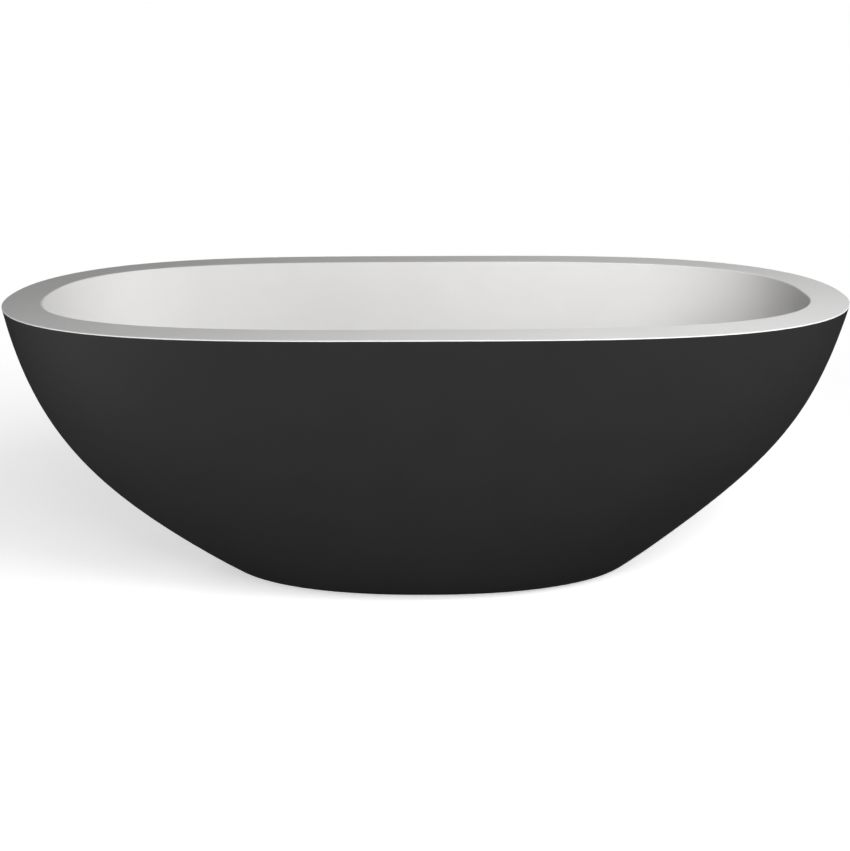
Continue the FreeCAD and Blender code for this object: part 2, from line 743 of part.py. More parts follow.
def make_plug_spring():
    """Return spring under the stem, coiled from round wire."""
    low, high = CARTRIDGE_Z[0] + 2.0, STEM_Z[0]
    radius = STEM_R - SPRING_WIRE_R - 0.1
    rise = high - low - 2 * SPRING_WIRE_R
    helix = Part.makeLongHelix(rise / SPRING_COILS, rise, radius)
    helix.translate(Vector(0, 0, low + SPRING_WIRE_R))
    start = Vector(radius, 0, low + SPRING_WIRE_R)
    section = Part.Wire(Part.makeCircle(SPRING_WIRE_R, start, Vector(0, 1, 0)))
    return Part.Wire(helix.Edges).makePipeShell([section], True, True)


# ================================================================ overflow
def make_overflow_body():
    """Barrel through the wall, its clamping flange behind it and the chamber that turns the water down."""
    face = BASIN_WALL - LAND_CUT + OVERFLOW_GASKET_T
    back = face + BARREL_FLANGE_T + CHAMBER_DEPTH
    middle = Vector(0, 0, overflow_spigot_depth())
    down = Vector(0, -1, 0)
    outside = fuse(
        cylinder(BARREL_R, -3.0, face),
        cylinder(OVERFLOW_LAND_R - 2.0, face, face + BARREL_FLANGE_T),
        cylinder(CHAMBER_R, face + BARREL_FLANGE_T - 0.5, back),
        Part.makeCylinder(SPIGOT_R, SPIGOT_END, middle, down),
    )
    hollow = fuse(
        cylinder(BARREL_BORE, -4.0, back - CHAMBER_WALL),
        Part.makeCylinder(SPIGOT_BORE, SPIGOT_END + 1.0, middle, down),
    )
    return OVERFLOW.place(outside.cut(hollow))


def overflow_spigot_depth():
    """How far behind the wet face the spigot's axis runs."""
    return BASIN_WALL - LAND_CUT + OVERFLOW_GASKET_T + BARREL_FLANGE_T + CHAMBER_DEPTH / 2


def overflow_hose_start():
    """The point and direction in which the hose leaves the overflow body."""
    return OVERFLOW.point(SPIGOT_END - SLEEVE, overflow_spigot_depth()), OVERFLOW.down


def make_overflow_outer_gasket():
    low = BASIN_WALL - LAND_CUT
    gasket = ring(OVERFLOW_LAND_R - 2.0, OVERFLOW_HOLE_R, low, low + OVERFLOW_GASKET_T)
    return OVERFLOW.place(gasket)


def make_overflow_inner_gasket():
    low = LAND_CUT - OVERFLOW_INNER_T
    return OVERFLOW.place(ring(OVERFLOW_LAND_R - 3.0, OVERFLOW_HOLE_R, low, LAND_CUT))


def make_overflow_ring():
    """Clamping ring on the wet side, screwed on the barrel."""
    face = LAND_CUT - OVERFLOW_INNER_T
    nut = ring(OVERFLOW_LAND_R - 3.0, BARREL_R + THREAD_CLEAR, face - 3.5, face)
    return OVERFLOW.place(nut)


def make_overflow_cover():
    """Round cover that stands off the ring, open for the water all round its back edge."""
    cover = turned(
        [
            (0, -COVER_OUT),
            (COVER_R - 3.0, -COVER_OUT),
            (COVER_R, -COVER_OUT + 2.5),
            (COVER_R, -COVER_OUT + 5.0),
            (COVER_R - 1.8, -COVER_OUT + 5.0),
            (COVER_R - 4.0, -COVER_OUT + 2.5),
            (0, -COVER_OUT + 2.5),
        ]
    )
    sleeve = ring(BARREL_BORE - THREAD_CLEAR, BARREL_BORE - 2.1, -COVER_OUT + 2.0, BASIN_WALL / 2)
    window = block((-6.0, 6.0), (14.0, 21.0), (-9.5, -4.5))
    axis = Vector(0, 0, 1)
    windows = [window.rotated(Vector(0, 0, 0), axis, 60.0 * k) for k in range(6)]
    return OVERFLOW.place(fuse(cover, sleeve.cut(windows)))


def hose_route():
    """From the overflow's spigot down between the shells and under the near rail to the waste."""
    start, down = overflow_hose_start()
    end = Vector(0, -(BRANCH_END - SLEEVE), BRANCH_Z)
    return [
        start,
        start + down * 42.0,
        Vector(0, -306.7, 335.0),
        Vector(0, -281.0, 238.0),
        Vector(0, -240.0, 146.0),
        Vector(0, -193.0, 84.0),
        Vector(0, -132.0, BRANCH_Z),
        end,
    ]


def make_overflow_hose():
    route = rounded_route(hose_route())
    return pipe(route, HOSE_R).cut(pipe(route, HOSE_R - HOSE_WALL))


def make_hose_clip():
    """Worm-drive clip about the Z axis, centred on z 0."""
    band = ring(HOSE_R + CLIP_T, HOSE_R, -CLIP_W / 2, CLIP_W / 2)
    reach = HOSE_R + CLIP_HOUSING
    half = CLIP_HOUSING + 1.0
    housing = block((HOSE_R - 0.2, reach), (-half, half), (-CLIP_W / 2, CLIP_W / 2))
    housing = housing.cut(cylinder(HOSE_R, -CLIP_W, CLIP_W))
    screw_place = Vector(HOSE_R + CLIP_SCREW_R, half, 0)
    screw = Part.makeCylinder(CLIP_SCREW_R, 4.0, screw_place, Vector(0, 1, 0))
    return fuse(band, housing, screw)


def make_hose_clips():
    """One clip on each end of the hose, over its spigot."""
    start, down = overflow_hose_start()
    end = hose_route()[-1]
    inward = Vector(0, 1, 0)
    clips = []
    for place, along in ((start + down * SLEEVE / 2, down), (end - inward * SLEEVE / 2, inward)):
        clip = make_hose_clip()
        clip.Placement = Placement(place, Rotation(Vector(0, 0, 1), along))
        clips.append(clip)
    return Part.makeCompound(clips)


# ================================================================ build
def build():
    """Every sub-part by its node's name."""
    hull = hull_form(FLOOR_GAP, HEIGHT)
    basin = make_basin(hull)
    shell = make_outer_shell(hull)
    parts = {
        "basin": basin,
        "outer_shell": shell,
        "rim_bond": make_rim_bond(hull, basin, shell),
        "base_board": make_base_board(),
        "bearing_pads": make_bearing_pads(),
        "frame_rail_front": make_rail(-1),
        "frame_rail_back": make_rail(1),
        "weld_nuts": make_nuts(WELD_NUT_H, RAIL_BOTTOM),
        "lock_nuts": make_nuts(LOCK_NUT_H, RAIL_BOTTOM - WELD_NUT_H),
        "bracket_bolts": make_bracket_bolts(),
        "flange_screws": make_flange_screws(),
        "waste_flange": make_waste_flange(),
        "waste_gasket": make_waste_gasket(),
        "waste_lower_gasket": make_lower_gasket(),
        "waste_body": make_waste_body(),
        "click_cartridge": make_cartridge(),
        "plug_cap": make_plug_cap(),
        "plug_stem": make_plug_stem(),
        "plug_seal": make_plug_seal(),
        "plug_spring": make_plug_spring(),
        "overflow_body": make_overflow_body(),
        "overflow_outer_gasket": make_overflow_outer_gasket(),
        "overflow_inner_gasket": make_overflow_inner_gasket(),
        "overflow_ring": make_overflow_ring(),
        "overflow_cover": make_overflow_cover(),
        "overflow_hose": make_overflow_hose(),
        "hose_clips": make_hose_clips(),
    }
    for number, x in enumerate(CROSS_X, 1):
        parts[f"frame_cross_{number}"] = make_cross_member(x)
    for place, (x, y) in foot_places().items():
        parts[f"foot_stud_{place}"] = make_foot_stud(x, y)
        parts[f"foot_cup_{place}"] = make_foot_cup(x, y)
        parts[f"foot_sole_{place}"] = make_foot_sole(x, y)
    for place, (side, y) in bracket_places().items():
        parts[f"shell_bracket_{place}"] = make_bracket(side, y)
    return parts


def main():
    os.makedirs("parts", exist_ok=True)
    for name, shape in build().items():
        shape.exportStep(f"parts/{name}.step")
        solids = len(shape.Solids)
        volume = shape.Volume / 1000
        print(f"{name:26s} solids {solids}  valid {shape.isValid()}  {volume:10.2f} cm3")


main()
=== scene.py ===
import json
import math

import bpy
from mathutils import Matrix, Vector


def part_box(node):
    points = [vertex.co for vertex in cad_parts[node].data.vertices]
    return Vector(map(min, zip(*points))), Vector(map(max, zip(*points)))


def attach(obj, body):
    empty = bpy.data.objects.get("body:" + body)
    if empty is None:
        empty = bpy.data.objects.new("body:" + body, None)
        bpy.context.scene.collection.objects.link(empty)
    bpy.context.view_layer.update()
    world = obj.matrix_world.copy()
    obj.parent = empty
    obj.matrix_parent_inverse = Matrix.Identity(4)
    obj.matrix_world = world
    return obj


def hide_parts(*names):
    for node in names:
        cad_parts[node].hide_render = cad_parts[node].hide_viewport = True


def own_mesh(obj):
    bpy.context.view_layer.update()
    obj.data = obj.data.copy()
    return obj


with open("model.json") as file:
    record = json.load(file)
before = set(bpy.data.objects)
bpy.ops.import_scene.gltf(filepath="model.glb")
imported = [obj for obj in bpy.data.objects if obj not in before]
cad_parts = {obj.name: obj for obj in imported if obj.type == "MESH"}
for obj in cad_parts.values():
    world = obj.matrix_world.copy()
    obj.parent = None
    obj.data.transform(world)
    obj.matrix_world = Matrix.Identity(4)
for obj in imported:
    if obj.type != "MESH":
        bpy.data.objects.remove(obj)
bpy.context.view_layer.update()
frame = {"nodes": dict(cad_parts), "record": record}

NODES = frame["nodes"]

# ---------------------------------------------------------------- camera and studio
CAMERA_DISTANCE = 2.1447  # from the middle of the tub, along -Y
CAMERA_HEIGHT = 1.0743
AIM = Vector((-0.0021, 0.0, 0.3053))
CAMERA_ROLL = -0.004
LENS, SENSOR = 44.67, 36.0  # millimetres
CAMERA_REACH = 50.0
AMBIENT = 0.015  # the white surroundings' share in the lighting
FLOOR_REACH = 12.0
FLOOR_SEEN, FLOOR_GLOW = 0.9, 0.5  # reflectance and glow of the floor, to the camera
FLOOR_DIM = 0.12  # reflectance of the floor to the tub
FADE_FROM, FADE_TO = 0.6, 2.6  # where the floor turns into the background
# Each softbox: name, place, what it points at, width and height, power.
LIGHTS = (
    ("key_front", (0.5, -2.3, 1.9), (0.0, 0.0, 0.5), (1.2, 1.0), 22.0),
    ("key_high", (1.0, -1.4, 2.4), (0.0, 0.0, 0.5), (1.2, 1.0), 29.0),
    ("key_right", (2.0, -1.5, 1.7), (0.0, 0.0, 0.5), (1.2, 1.0), 24.0),
    ("low_left", (-2.4, -1.6, 0.36), (-0.4, 0.0, 0.3), (1.2, 0.3), 33.0),
    ("low_right", (2.4, -1.6, 0.42), (0.4, 0.0, 0.35), (1.2, 0.3), 10.0),
    ("front_fill", (0.0, -2.8, 1.1), (0.0, 0.0, 0.4), (1.8, 0.8), 12.0),
    ("back_high", (0.8, 1.6, 2.0), (0.0, 0.0, 0.5), (1.4, 0.8), 4.0),
    ("back_low", (0.0, 2.6, 0.3), (0.0, 0.0, 0.3), (1.8, 0.5), 40.0),
)

# ---------------------------------------------------------------- finishes
WHITE = 0.79  # reflectance of the white stone resin
DARK = 0.020  # reflectance of the charcoal stone resin
PLY_SCALE = 100.0  # plies of the board, for a band texture

# ---------------------------------------------------------------- small pieces, sizes in metres
CREASE, STUD_CREASE = 40, 18  # an edge is sharp above this angle, in degrees
THREAD_PITCH, THREAD_DEPTH, THREAD_STEPS = 0.00175, 0.00095, 6
STUD_R, STUD_CHAMFER, STUD_SIDES = 0.0059, 0.0015, 24
THREAD_FROM = 0.026  # the thread starts above the spanner hexagon
SPANNER_LOW, SPANNER_HIGH, SPANNER_AF, SPANNER_EDGE = 0.016, 0.024, 0.017, 0.0008
SPANNER_SIDES = 36
WELD_R, WELD_RIPPLE, WELD_PITCH, WELD_SIDES = 0.0022, 0.00035, 0.0018, 8
WELD_STEP = WELD_PITCH / 4
TUBE_CORNER_R = 0.001
NUT_WELD_R, NUT_WELD_REACH = 0.0013, 0.0101
HOSE_R, HOSE_BORE_R = 0.0159, 0.0136
CUFF, RIB_PITCH, RIB_DEPTH = 0.024, 0.0055, 0.0016
HOSE_STEP, HOSE_SIDES = RIB_PITCH / 6, 28
SPRING_WIRE_R, SPRING_COIL_R, SPRING_TURNS = 0.00045, 0.00345, 8
SPRING_STEPS, WIRE_SIDES = 24, 8
# From the overflow's spigot down between the shells and under the near rail to the waste.
HOSE_ROUTE = (
    (0.0, -0.3291, 0.4753),
    (0.0, -0.3237, 0.4337),
    (0.0, -0.3067, 0.3350),
    (0.0, -0.2810, 0.2380),
    (0.0, -0.2400, 0.1460),
    (0.0, -0.1930, 0.0840),
    (0.0, -0.1320, 0.0580),
    (0.0, -0.0600, 0.0580),
)


def add_camera():
    """The camera at the photograph's viewing angle."""
    data = bpy.data.cameras.new("camera")
    data.lens = LENS
    data.sensor_width = SENSOR
    data.clip_end = CAMERA_REACH
    camera = bpy.data.objects.new("camera", data)
    bpy.context.scene.collection.objects.link(camera)
    place = Vector((0.0, -CAMERA_DISTANCE, CAMERA_HEIGHT))
    look = (AIM - place).to_track_quat("-Z", "Y").to_matrix().to_4x4()
    camera.matrix_world = Matrix.Translation(place) @ look @ Matrix.Rotation(CAMERA_ROLL, 4, "Z")
    bpy.context.scene.camera = camera


def add_area(name, place, aim, size, power):
    """A softbox that the camera does not see."""
    data = bpy.data.lights.new(name, "AREA")
    data.shape = "RECTANGLE"
    data.size, data.size_y = size
    data.energy = power
    light = bpy.data.objects.new(name, data)
    light.visible_camera = False
    bpy.context.scene.collection.objects.link(light)
    place = Vector(place)
    look = (Vector(aim) - place).to_track_quat("-Z", "Y").to_matrix().to_4x4()
    light.matrix_world = Matrix.Translation(place) @ look


class Nodes:
    """A short way to write a material's or the world's node tree."""

    def __init__(self, owner):
        owner.use_nodes = True
        self.tree = owner.node_tree
        self.tree.nodes.clear()

    def add(self, kind, **settings):
        node = self.tree.nodes.new(kind)
        for key, value in settings.items():
            setattr(node, key, value)
        return node

    def link(self, source, target):
        self.tree.links.new(source, target)


def add_world():
    """A white background, which lights the tub only faintly."""
    world = bpy.data.worlds.new("studio")
    bpy.context.scene.world = world
    n = Nodes(world)
    seen = n.add("ShaderNodeBackground")
    seen.inputs["Color"].default_value = (1.0, 1.0, 1.0, 1.0)
    seen.inputs["Strength"].default_value = 1.0
    ambient = n.add("ShaderNodeBackground")
    ambient.inputs["Color"].default_value = (1.0, 1.0, 1.0, 1.0)
    ambient.inputs["Strength"].default_value = AMBIENT
    path = n.add("ShaderNodeLightPath")
    mix = n.add("ShaderNodeMixShader")
    out = n.add("ShaderNodeOutputWorld")
    n.link(path.outputs["Is Camera Ray"], mix.inputs["Fac"])
    n.link(ambient.outputs[0], mix.inputs[1])
    n.link(seen.outputs[0], mix.inputs[2])
    n.link(mix.outputs[0], out.inputs["Surface"])


def add_floor():
    """A pale floor that fades into the white background, and throws little light back at the tub."""
    mesh = bpy.data.meshes.new("studio_floor")
    corners = [(x * FLOOR_REACH, y * FLOOR_REACH, 0) for x, y in ((-1, -1), (1, -1), (1, 1), (-1, 1))]
    mesh.from_pydata(corners, [], [(0, 1, 2, 3)])
    floor = bpy.data.objects.new("studio_floor", mesh)
    bpy.context.scene.collection.objects.link(floor)
    material = bpy.data.materials.new("studio_floor")
    n = Nodes(material)
    pale = n.add("ShaderNodeBsdfDiffuse")
    pale.inputs["Color"].default_value = (FLOOR_SEEN, FLOOR_SEEN, FLOOR_SEEN, 1)
    glow = n.add("ShaderNodeEmission")
    glow.inputs["Strength"].default_value = FLOOR_GLOW
    lit = n.add("ShaderNodeAddShader")
    n.link(pale.outputs[0], lit.inputs[0])
    n.link(glow.outputs[0], lit.inputs[1])
    white = n.add("ShaderNodeEmission")
    white.inputs["Strength"].default_value = 1.0
    place = n.add("ShaderNodeTexCoord")
    reach_out = n.add("ShaderNodeVectorMath", operation="LENGTH")
    n.link(place.outputs["Object"], reach_out.inputs[0])
    fade = n.add("ShaderNodeMapRange", interpolation_type="SMOOTHSTEP")
    fade.inputs["From Min"].default_value = FADE_FROM
    fade.inputs["From Max"].default_value = FADE_TO
    n.link(reach_out.outputs["Value"], fade.inputs["Value"])
    seen = n.add("ShaderNodeMixShader")
    n.link(fade.outputs["Result"], seen.inputs["Fac"])
    n.link(lit.outputs[0], seen.inputs[1])
    n.link(white.outputs[0], seen.inputs[2])
    dim = n.add("ShaderNodeBsdfDiffuse")
    dim.inputs["Color"].default_value = (FLOOR_DIM, FLOOR_DIM, FLOOR_DIM, 1)
    path = n.add("ShaderNodeLightPath")
    both = n.add("ShaderNodeMixShader")
    n.link(path.outputs["Is Camera Ray"], both.inputs["Fac"])
    n.link(dim.outputs[0], both.inputs[1])
    n.link(seen.outputs[0], both.inputs[2])
    out = n.add("ShaderNodeOutputMaterial")
    n.link(both.outputs[0], out.inputs["Surface"])
    mesh.materials.append(material)


# ---------------------------------------------------------------- materials
class Surface:
    """One material: a Principled shader fed by patterns that are fixed to the object."""

    def __init__(self, name, roughness, metallic=0.0, specular=0.5):
        self.material = bpy.data.materials.new(name)
        self.n = Nodes(self.material)
        self.shader = self.n.add("ShaderNodeBsdfPrincipled")
        self.shader.inputs["Roughness"].default_value = roughness
        self.shader.inputs["Metallic"].default_value = metallic
        self.shader.inputs["Specular IOR Level"].default_value = specular
        out = self.n.add("ShaderNodeOutputMaterial")
        self.n.link(self.shader.outputs[0], out.inputs["Surface"])
        self.coords = self.n.add("ShaderNodeTexCoord")

    def place(self, stretch=(1, 1, 1)):
        """The object's own coordinates, so that a pattern moves with its piece."""
        mapping = self.n.add("ShaderNodeMapping")
        mapping.inputs["Scale"].default_value = stretch
        self.n.link(self.coords.outputs["Object"], mapping.inputs["Vector"])
        return mapping.outputs[0]

    def noise(self, scale, detail=3.0, stretch=(1, 1, 1)):
        """Cloudy noise; scale is in features per metre."""
        node = self.n.add("ShaderNodeTexNoise")
        node.inputs["Scale"].default_value = scale
        node.inputs["Detail"].default_value = detail
        self.n.link(self.place(stretch), node.inputs["Vector"])
        return node.outputs["Fac"]

    def specks(self, scale):
        """Small round grains, as in a filled resin or a rubber."""
        node = self.n.add("ShaderNodeTexVoronoi")
        node.inputs["Scale"].default_value = scale
        self.n.link(self.place(), node.inputs["Vector"])
        return node.outputs["Distance"]

    def bands(self, axis, scale):
        """Even bands across an axis."""
        node = self.n.add("ShaderNodeTexWave", wave_type="BANDS", wave_profile="SIN")
        node.bands_direction = axis
        node.inputs["Scale"].default_value = scale
        self.n.link(self.place(), node.inputs["Vector"])
        return node.outputs["Fac"]

    def ramp(self, fac, stops):
        """A colour from a pattern, by (pattern value, colour) stops."""
        node = self.n.add("ShaderNodeValToRGB")
        points = node.color_ramp.elements
        while len(points) < len(stops):
            points.new(0.5)
        for point, (at, colour) in zip(points, stops):
            point.position = at
            point.color = (*colour, 1.0)
        self.n.link(fac, node.inputs["Fac"])
        return node.outputs["Color"]

    def blend(self, fac, first, second):
        """The first colour where the pattern is 0, and the second where it is 1."""
        node = self.n.add("ShaderNodeMix", data_type="RGBA")
        self.n.link(fac, node.inputs["Factor"])
        self.n.link(first, node.inputs["A"])
        self.n.link(second, node.inputs["B"])
        return node.outputs["Result"]

    def colour(self, output):
        self.n.link(output, self.shader.inputs["Base Color"])

    def roughness(self, fac, low, high):
        node = self.n.add("ShaderNodeMapRange")
        node.inputs["To Min"].default_value = low
        node.inputs["To Max"].default_value = high
        self.n.link(fac, node.inputs["Value"])
        self.n.link(node.outputs["Result"], self.shader.inputs["Roughness"])

    def relief(self, *layers):
        """Bump from (pattern, height in metres) layers, coarse first."""
        normal = None
        for fac, height in layers:
            node = self.n.add("ShaderNodeBump")
            node.inputs["Strength"].default_value = 1.0
            node.inputs["Distance"].default_value = height
            self.n.link(fac, node.inputs["Height"])
            if normal:
                self.n.link(normal, node.inputs["Normal"])
            normal = node.outputs["Normal"]
        self.n.link(normal, self.shader.inputs["Normal"])


def grey(level, warm=0.0):
    """A grey of one reflectance, a little redder and less blue when warm is above 0."""
    return (level * (1 + warm), level, level * (1 - warm))


def white_stone():
    """Cast stone resin with a satin gel surface: faint clouding and a very fine grain."""
    s = Surface("white_stone", 0.45)
    low, high = grey(WHITE - 0.012, 0.008), grey(WHITE + 0.012, 0.006)
    s.colour(s.ramp(s.noise(7.0, 5.0), [(0.3, low), (0.7, high)]))
    s.roughness(s.noise(40.0, 6.0), 0.41, 0.50)
    s.relief((s.noise(60.0, 2.0), 0.00004), (s.noise(900.0, 3.0), 0.000008))
    return s.material


def charcoal_stone():
    """The same resin, through-coloured and honed matt, with fine mineral grains."""
    s = Surface("charcoal_stone", 0.6, specular=0.35)
    clouds = s.ramp(s.noise(9.0, 5.0), [(0.3, grey(DARK - 0.001)), (0.7, grey(DARK + 0.001))])
    grains = s.ramp(s.specks(1400.0), [(0.0, grey(DARK * 1.25)), (0.35, grey(DARK))])
    pick = s.ramp(s.noise(300.0, 2.0), [(0.55, grey(0.0)), (0.65, grey(0.6))])
    s.colour(s.blend(pick, clouds, grains))
    s.roughness(s.noise(55.0, 6.0), 0.56, 0.66)
    s.relief((s.noise(80.0, 2.0), 0.00005), (s.noise(1200.0, 3.0), 0.000012))
    return s.material


def bond():
    """Cured adhesive: off-white, slightly lumpy and soft-looking."""
    s = Surface("bond", 0.55)
    s.colour(s.ramp(s.noise(35.0), [(0.3, (0.60, 0.60, 0.56)), (0.7, (0.72, 0.72, 0.69))]))
    s.roughness(s.noise(90.0), 0.45, 0.65)
    s.relief((s.noise(120.0, 2.0), 0.0006))
    return s.material


def plywood():
    """Birch plywood: long grain on the faces, stacked plies on the edges."""
    s = Surface("plywood", 0.6)
    grain = s.noise(60.0, 8.0, (0.08, 1.0, 1.0))
    stops = [(0.3, (0.42, 0.27, 0.14)), (0.5, (0.60, 0.43, 0.25)), (0.75, (0.70, 0.54, 0.34))]
    face = s.ramp(grain, stops)
    plies = s.ramp(s.bands("Z", PLY_SCALE), [(0.35, (0.30, 0.17, 0.08)), (0.6, (0.64, 0.46, 0.27))])
    upward = s.n.add("ShaderNodeSeparateXYZ")
    s.n.link(s.coords.outputs["Normal"], upward.inputs[0])
    flat = s.n.add("ShaderNodeMath", operation="ABSOLUTE")
    s.n.link(upward.outputs["Z"], flat.inputs[0])
    s.colour(s.blend(flat.outputs[0], plies, face))
    s.roughness(grain, 0.5, 0.72)
    s.relief((grain, 0.0002))
    return s.material


def rubber():
    """Black moulded rubber with a dull bloom."""
    s = Surface("rubber", 0.8, specular=0.35)
    s.colour(s.ramp(s.noise(70.0, 4.0), [(0.35, grey(0.018)), (0.7, grey(0.034))]))
    s.roughness(s.noise(150.0), 0.68, 0.88)
    s.relief((s.specks(900.0), 0.00008))
    return s.material


def frame_paint():
    """Black powder coat with its orange-peel skin."""
    s = Surface("frame_paint", 0.45)
    s.colour(s.ramp(s.noise(25.0, 4.0), [(0.3, grey(0.026)), (0.7, grey(0.036))]))
    s.roughness(s.noise(60.0), 0.38, 0.55)
    s.relief((s.noise(450.0, 2.0), 0.00012))
    return s.material


def zinc():
    """Zinc-plated steel: cool bright patches over a faint yellow passivation."""
    s = Surface("zinc", 0.35, metallic=1.0)
    stops = [(0.3, (0.50, 0.50, 0.47)), (0.55, (0.63, 0.63, 0.61)), (0.75, (0.66, 0.63, 0.55))]
    s.colour(s.ramp(s.noise(130.0, 5.0), stops))
    s.roughness(s.noise(300.0, 5.0), 0.26, 0.46)
    s.relief((s.noise(900.0, 2.0), 0.00003))
    return s.material


def chrome():
    """Polished chrome plate with the faintest wipe marks."""
    s = Surface("chrome", 0.07, metallic=1.0)
    s.colour(s.ramp(s.noise(60.0), [(0.3, (0.80, 0.80, 0.82)), (0.7, (0.86, 0.86, 0.87))]))
    s.roughness(s.noise(50.0, 6.0, (1.0, 5.0, 1.0)), 0.04, 0.12)
    s.relief((s.noise(1500.0, 2.0), 0.000002))
    return s.material


def brass():
    """Turned brass with its tool rings."""
    s = Surface("brass", 0.3, metallic=1.0)
    s.colour(s.ramp(s.noise(90.0, 5.0), [(0.3, (0.58, 0.40, 0.16)), (0.7, (0.72, 0.53, 0.25))]))
    s.roughness(s.noise(200.0, 4.0), 0.22, 0.40)
    s.relief((s.bands("Z", 700.0), 0.00002))
    return s.material


def moulded(name, dark, light, low, high):
    """Injection-moulded plastic with an even spark-eroded texture."""
    s = Surface(name, (low + high) / 2)
    s.colour(s.ramp(s.noise(45.0, 3.0), [(0.3, dark), (0.7, light)]))
    s.roughness(s.noise(220.0), low, high)
    s.relief((s.noise(1100.0, 2.0), 0.00003))
    return s.material


def materials_by_slot():
    """Every finish that the record names."""
    return {
        "white_stone": white_stone(),
        "charcoal_stone": charcoal_stone(),
        "bond": bond(),
        "board": plywood(),
        "rubber": rubber(),
        "frame_steel": frame_paint(),
        "zinc_steel": zinc(),
        "chrome": chrome(),
        "brass": brass(),
        "grey_plastic": moulded("grey_plastic", grey(0.60), grey(0.66, 0.01), 0.38, 0.50),
        "black_plastic": moulded("black_plastic", grey(0.020), grey(0.030), 0.40, 0.55),
        "hose_plastic": moulded("hose_plastic", grey(0.30), grey(0.36), 0.35, 0.48),
    }


# ---------------------------------------------------------------- small pieces
def add_piece(name, shells, body, slot, crease=CREASE):
    """A mesh piece of one or more (points, faces) shells that rides on a body, in a slot's finish."""
    points, faces = [], []
    for shell_points, shell_faces in shells:
        first = len(points)
        points.extend(shell_points)
        faces.extend([tuple(first + k for k in face) for face in shell_faces])
    mesh = bpy.data.meshes.new(name)
    mesh.from_pydata(points, [], faces)
    mesh.materials.append(MATERIALS[slot])
    mesh.shade_smooth()
    mesh.set_sharp_from_angle(angle=math.radians(crease))
    piece = bpy.data.objects.new(name, mesh)
    bpy.context.scene.collection.objects.link(piece)
    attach(piece, body)
    return piece


def tube_faces(rows, columns, closed=False):
    """Quads between rings; a closed tube joins its last ring to its first, an open one is capped."""
    count = rows * columns
    faces = []
    for i in range(rows if closed else rows - 1):
        for j in range(columns):
            a = i * columns + j
            b = i * columns + (j + 1) % columns
            faces.append((a, b, (b + columns) % count, (a + columns) % count))
    if not closed:
        faces.append(tuple(reversed(range(columns))))
        faces.append(tuple(range(count - columns, count)))
    return faces


def ring_points(centre, side, up, radius, count):
    """Points on a circle round a centre, in the plane of two directions."""
    turns = [2 * math.pi * k / count for k in range(count)]
    return [centre + (side * math.cos(a) + up * math.sin(a)) * radius for a in turns]


def threaded_rod(x, y, low, high):
    """A stud with a real helical thread, smooth below the spanner and chamfered at its ends."""
    count = int((high - low) / THREAD_PITCH * THREAD_STEPS)
    points = []
    for i in range(count + 1):
        z = low + (high - low) * i / count
        fade = max(0.0, min(1.0, (z - THREAD_FROM) / THREAD_PITCH))
        end = max(0.0, STUD_CHAMFER - (z - low), STUD_CHAMFER - (high - z))
        for j in range(STUD_SIDES):
            phase = ((z - low) / THREAD_PITCH - j / STUD_SIDES) % 1.0
            radius = STUD_R - max(THREAD_DEPTH * abs(2 * phase - 1) * fade, end)
            turn = 2 * math.pi * j / STUD_SIDES
            points.append((x + radius * math.cos(turn), y + radius * math.sin(turn), z))
    return points, tube_faces(count + 1, STUD_SIDES)


def spanner_hexagon(x, y):
    """The stud's hexagon, its corners turned off above and below."""
    heights = (SPANNER_LOW, SPANNER_LOW + SPANNER_EDGE, SPANNER_HIGH - SPANNER_EDGE, SPANNER_HIGH)
    flat, corner = SPANNER_AF / 2, SPANNER_AF / math.sqrt(3)
    points = []
    for z, limit in zip(heights, (flat, corner, corner, flat)):
        for j in range(SPANNER_SIDES):
            turn = 2 * math.pi * j / SPANNER_SIDES
            from_flat = (turn % (math.pi / 3)) - math.pi / 6
            radius = min(flat / math.cos(from_flat), limit)
            points.append((x + radius * math.cos(turn), y + radius * math.sin(turn), z))
    return points, tube_faces(len(heights), SPANNER_SIDES)


def add_foot_stud(place):
    """One foot's stud with its thread and spanner hexagon, which turns with the foot's screw."""
    node = f"foot_stud_{place}"
    low, high = (Vector(corner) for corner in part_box(node))
    x, y = (low.x + high.x) / 2, (low.y + high.y) / 2
    shells = [threaded_rod(x, y, low.z, high.z), spanner_hexagon(x, y)]
    piece = add_piece(f"threaded_{node}", shells, f"screw_{place}", "zinc_steel", STUD_CREASE)
    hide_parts(node)


def weld_ripple(run):
    """How much the bead swells at a place along its run."""
    return WELD_RIPPLE * abs(math.sin(math.pi * run / WELD_PITCH))


def rounded_rectangle(width, height, corner, step):
    """Points round a rectangle's edge with their outward directions, as (u, v, du, dv)."""
    places = []
    for k, (su, sv) in enumerate(((1, 1), (-1, 1), (-1, -1), (1, -1))):
        cu, cv = su * (width / 2 - corner), sv * (height / 2 - corner)
        for j in range(4):
            turn = math.pi / 2 * (k + j / 3)
            places.append((cu + corner * math.cos(turn), cv + corner * math.sin(turn), turn))
        straight = (width if k % 2 == 0 else height) - 2 * corner
        u, v, turn = places[-1]
        for j in range(1, int(straight / step)):
            run = straight * j / int(straight / step)
            places.append((u - run * math.sin(turn), v + run * math.cos(turn), turn))
    return [(u, v, math.cos(turn), math.sin(turn)) for u, v, turn in places]


def cross_weld(centre, width, height):
    """A bead all round the end of a cross tube, where it meets the rail."""
    points = []
    rows = rounded_rectangle(width, height, TUBE_CORNER_R, WELD_STEP)
    for i, (u, v, du, dv) in enumerate(rows):
        outward = Vector((du, 0, dv))
        place = centre + Vector((u, 0, v))
        radius = WELD_R + weld_ripple(i * WELD_STEP)
        points.extend(ring_points(place, outward, Vector((0, 1, 0)), radius, WELD_SIDES))
    return points, tube_faces(len(rows), WELD_SIDES, closed=True)


